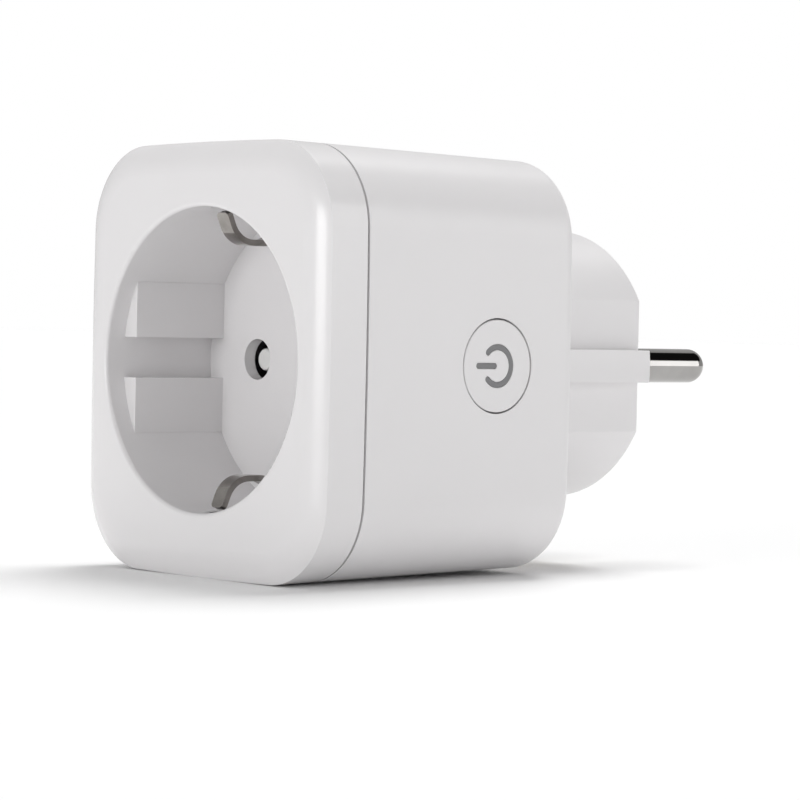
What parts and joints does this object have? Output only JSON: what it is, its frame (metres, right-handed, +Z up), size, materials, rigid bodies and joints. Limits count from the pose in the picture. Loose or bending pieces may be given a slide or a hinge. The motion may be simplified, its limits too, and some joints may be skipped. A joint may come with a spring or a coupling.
{
  "type": "smart plug",
  "caption": "Block-shaped smart plug: a round recessed socket with earth clips in front, a side push button, and a round two-pin mains plug boss behind.",
  "frame": {"origin": "centre of the plug boss's end face, midway between the two pins", "axes": "+Y along the pins into the wall, -Y out of the socket face, +Z up, +X towards the side with the button"},
  "size_m": [0.049, 0.0837, 0.0558],
  "materials": {
    "cover_plastic": "glossy",
    "housing_plastic": "satin gloss",
    "base_plastic": "satin gloss",
    "pin_nickel": "polished nickel plate",
    "clip_nickel": "polished nickel plate",
    "earth_metal": "rolled strip",
    "contact_metal": "rolled strip",
    "rivet_metal": "plain",
    "carrier_plastic": "matte",
    "shutter_plastic": "satin",
    "spring_steel": "bright",
    "board_laminate": "solder resist",
    "wifi_laminate": "solder resist",
    "solder": "bright",
    "screw_steel": "zinc plate",
    "relay_plastic": "matte",
    "relay_base_plastic": "matte",
    "coil_copper": "enamelled wire",
    "film_plastic": "gloss",
    "can_sleeve": "shrink sleeve",
    "varistor_coat": "epoxy dip",
    "ferrite": "sintered",
    "resistor_coat": "lacquer",
    "chip_epoxy": "moulded",
    "shunt_alloy": "resistance alloy",
    "header_plastic": "matte",
    "can_metal": "tin plate",
    "lamp_resin": "clear resin",
    "switch_plastic": "matte",
    "switch_metal": "tin plate",
    "plunger_plastic": "matte",
    "button_plastic": "glossy",
    "symbol_plastic": "translucent grey"
  },
  "bodies": {
    "housing": {"front_cover": "cover_plastic", "rear_housing": "housing_plastic", "plug_base": "base_plastic", "line_pin": "pin_nickel", "neutral_pin": "pin_nickel", "upper_earth_strip": "earth_metal", "lower_earth_strip": "earth_metal", "earth_bridge": "earth_metal", "earth_rivets": "rivet_metal", "contact_carrier": "carrier_plastic", "line_contact": "contact_metal", "neutral_contact": "contact_metal", "shutter_spring": "spring_steel", "main_board": "board_laminate", "solder_joints": "solder", "board_screws": "screw_steel", "relay_base": "relay_base_plastic", "relay_cover": "relay_plastic", "relay_coil": "coil_copper", "relay_contacts": "contact_metal", "film_capacitor": "film_plastic", "reservoir_capacitors": "can_sleeve", "varistor": "varistor_coat", "choke_core": "ferrite", "choke_winding": "coil_copper", "fuse_resistor": "resistor_coat", "rectifier": "chip_epoxy", "power_chip": "chip_epoxy", "metering_chip": "chip_epoxy", "shunt_strip": "shunt_alloy", "wifi_board": "wifi_laminate", "board_header": "header_plastic", "radio_can": "can_metal", "radio_chip": "chip_epoxy", "status_lamps": "lamp_resin", "tact_switch_case": "switch_plastic", "tact_switch_cover": "switch_metal"},
    "button": {"button_cap": "button_plastic", "button_symbol": "symbol_plastic"},
    "switch_plunger": {"tact_switch_plunger": "plunger_plastic"},
    "shutter": {"shutter": "shutter_plastic"},
    "upper_clip": {"upper_earth_clip": "clip_nickel"},
    "lower_clip": {"lower_earth_clip": "clip_nickel"}
  },
  "joints": [
    {"name": "button_press", "type": "slide", "parent": "housing", "child": "button", "axis": [-1, 0, 0], "range_m": [0, 0.0003], "stiffness_N_per_m": 500, "springref_m": -0.002},
    {"name": "plunger_press", "type": "slide", "parent": "housing", "child": "switch_plunger", "axis": [-1, 0, 0], "range_m": [0, 0.0003]},
    {"name": "shutter_turn", "type": "hinge", "parent": "housing", "child": "shutter", "pos_m": [0, -0.0423, 0], "axis": [0, -1, 0], "range_deg": [0, 40], "stiffness_Nm_per_rad": 0.004, "springref_deg": -17.19},
    {"name": "upper_clip_flex", "type": "hinge", "parent": "housing", "child": "upper_clip", "pos_m": [0, -0.04, 0.018], "axis": [-1, 0, 0], "range_deg": [0, 5], "stiffness_Nm_per_rad": 0.2, "springref_deg": -2.86},
    {"name": "lower_clip_flex", "type": "hinge", "parent": "housing", "child": "lower_clip", "pos_m": [0, -0.04, -0.018], "axis": [1, 0, 0], "range_deg": [0, 5], "stiffness_Nm_per_rad": 0.2, "springref_deg": -2.86}
  ],
  "couplings": [
    {"joint": "plunger_press", "follows": "button_press", "ratio": 1}
  ]
}
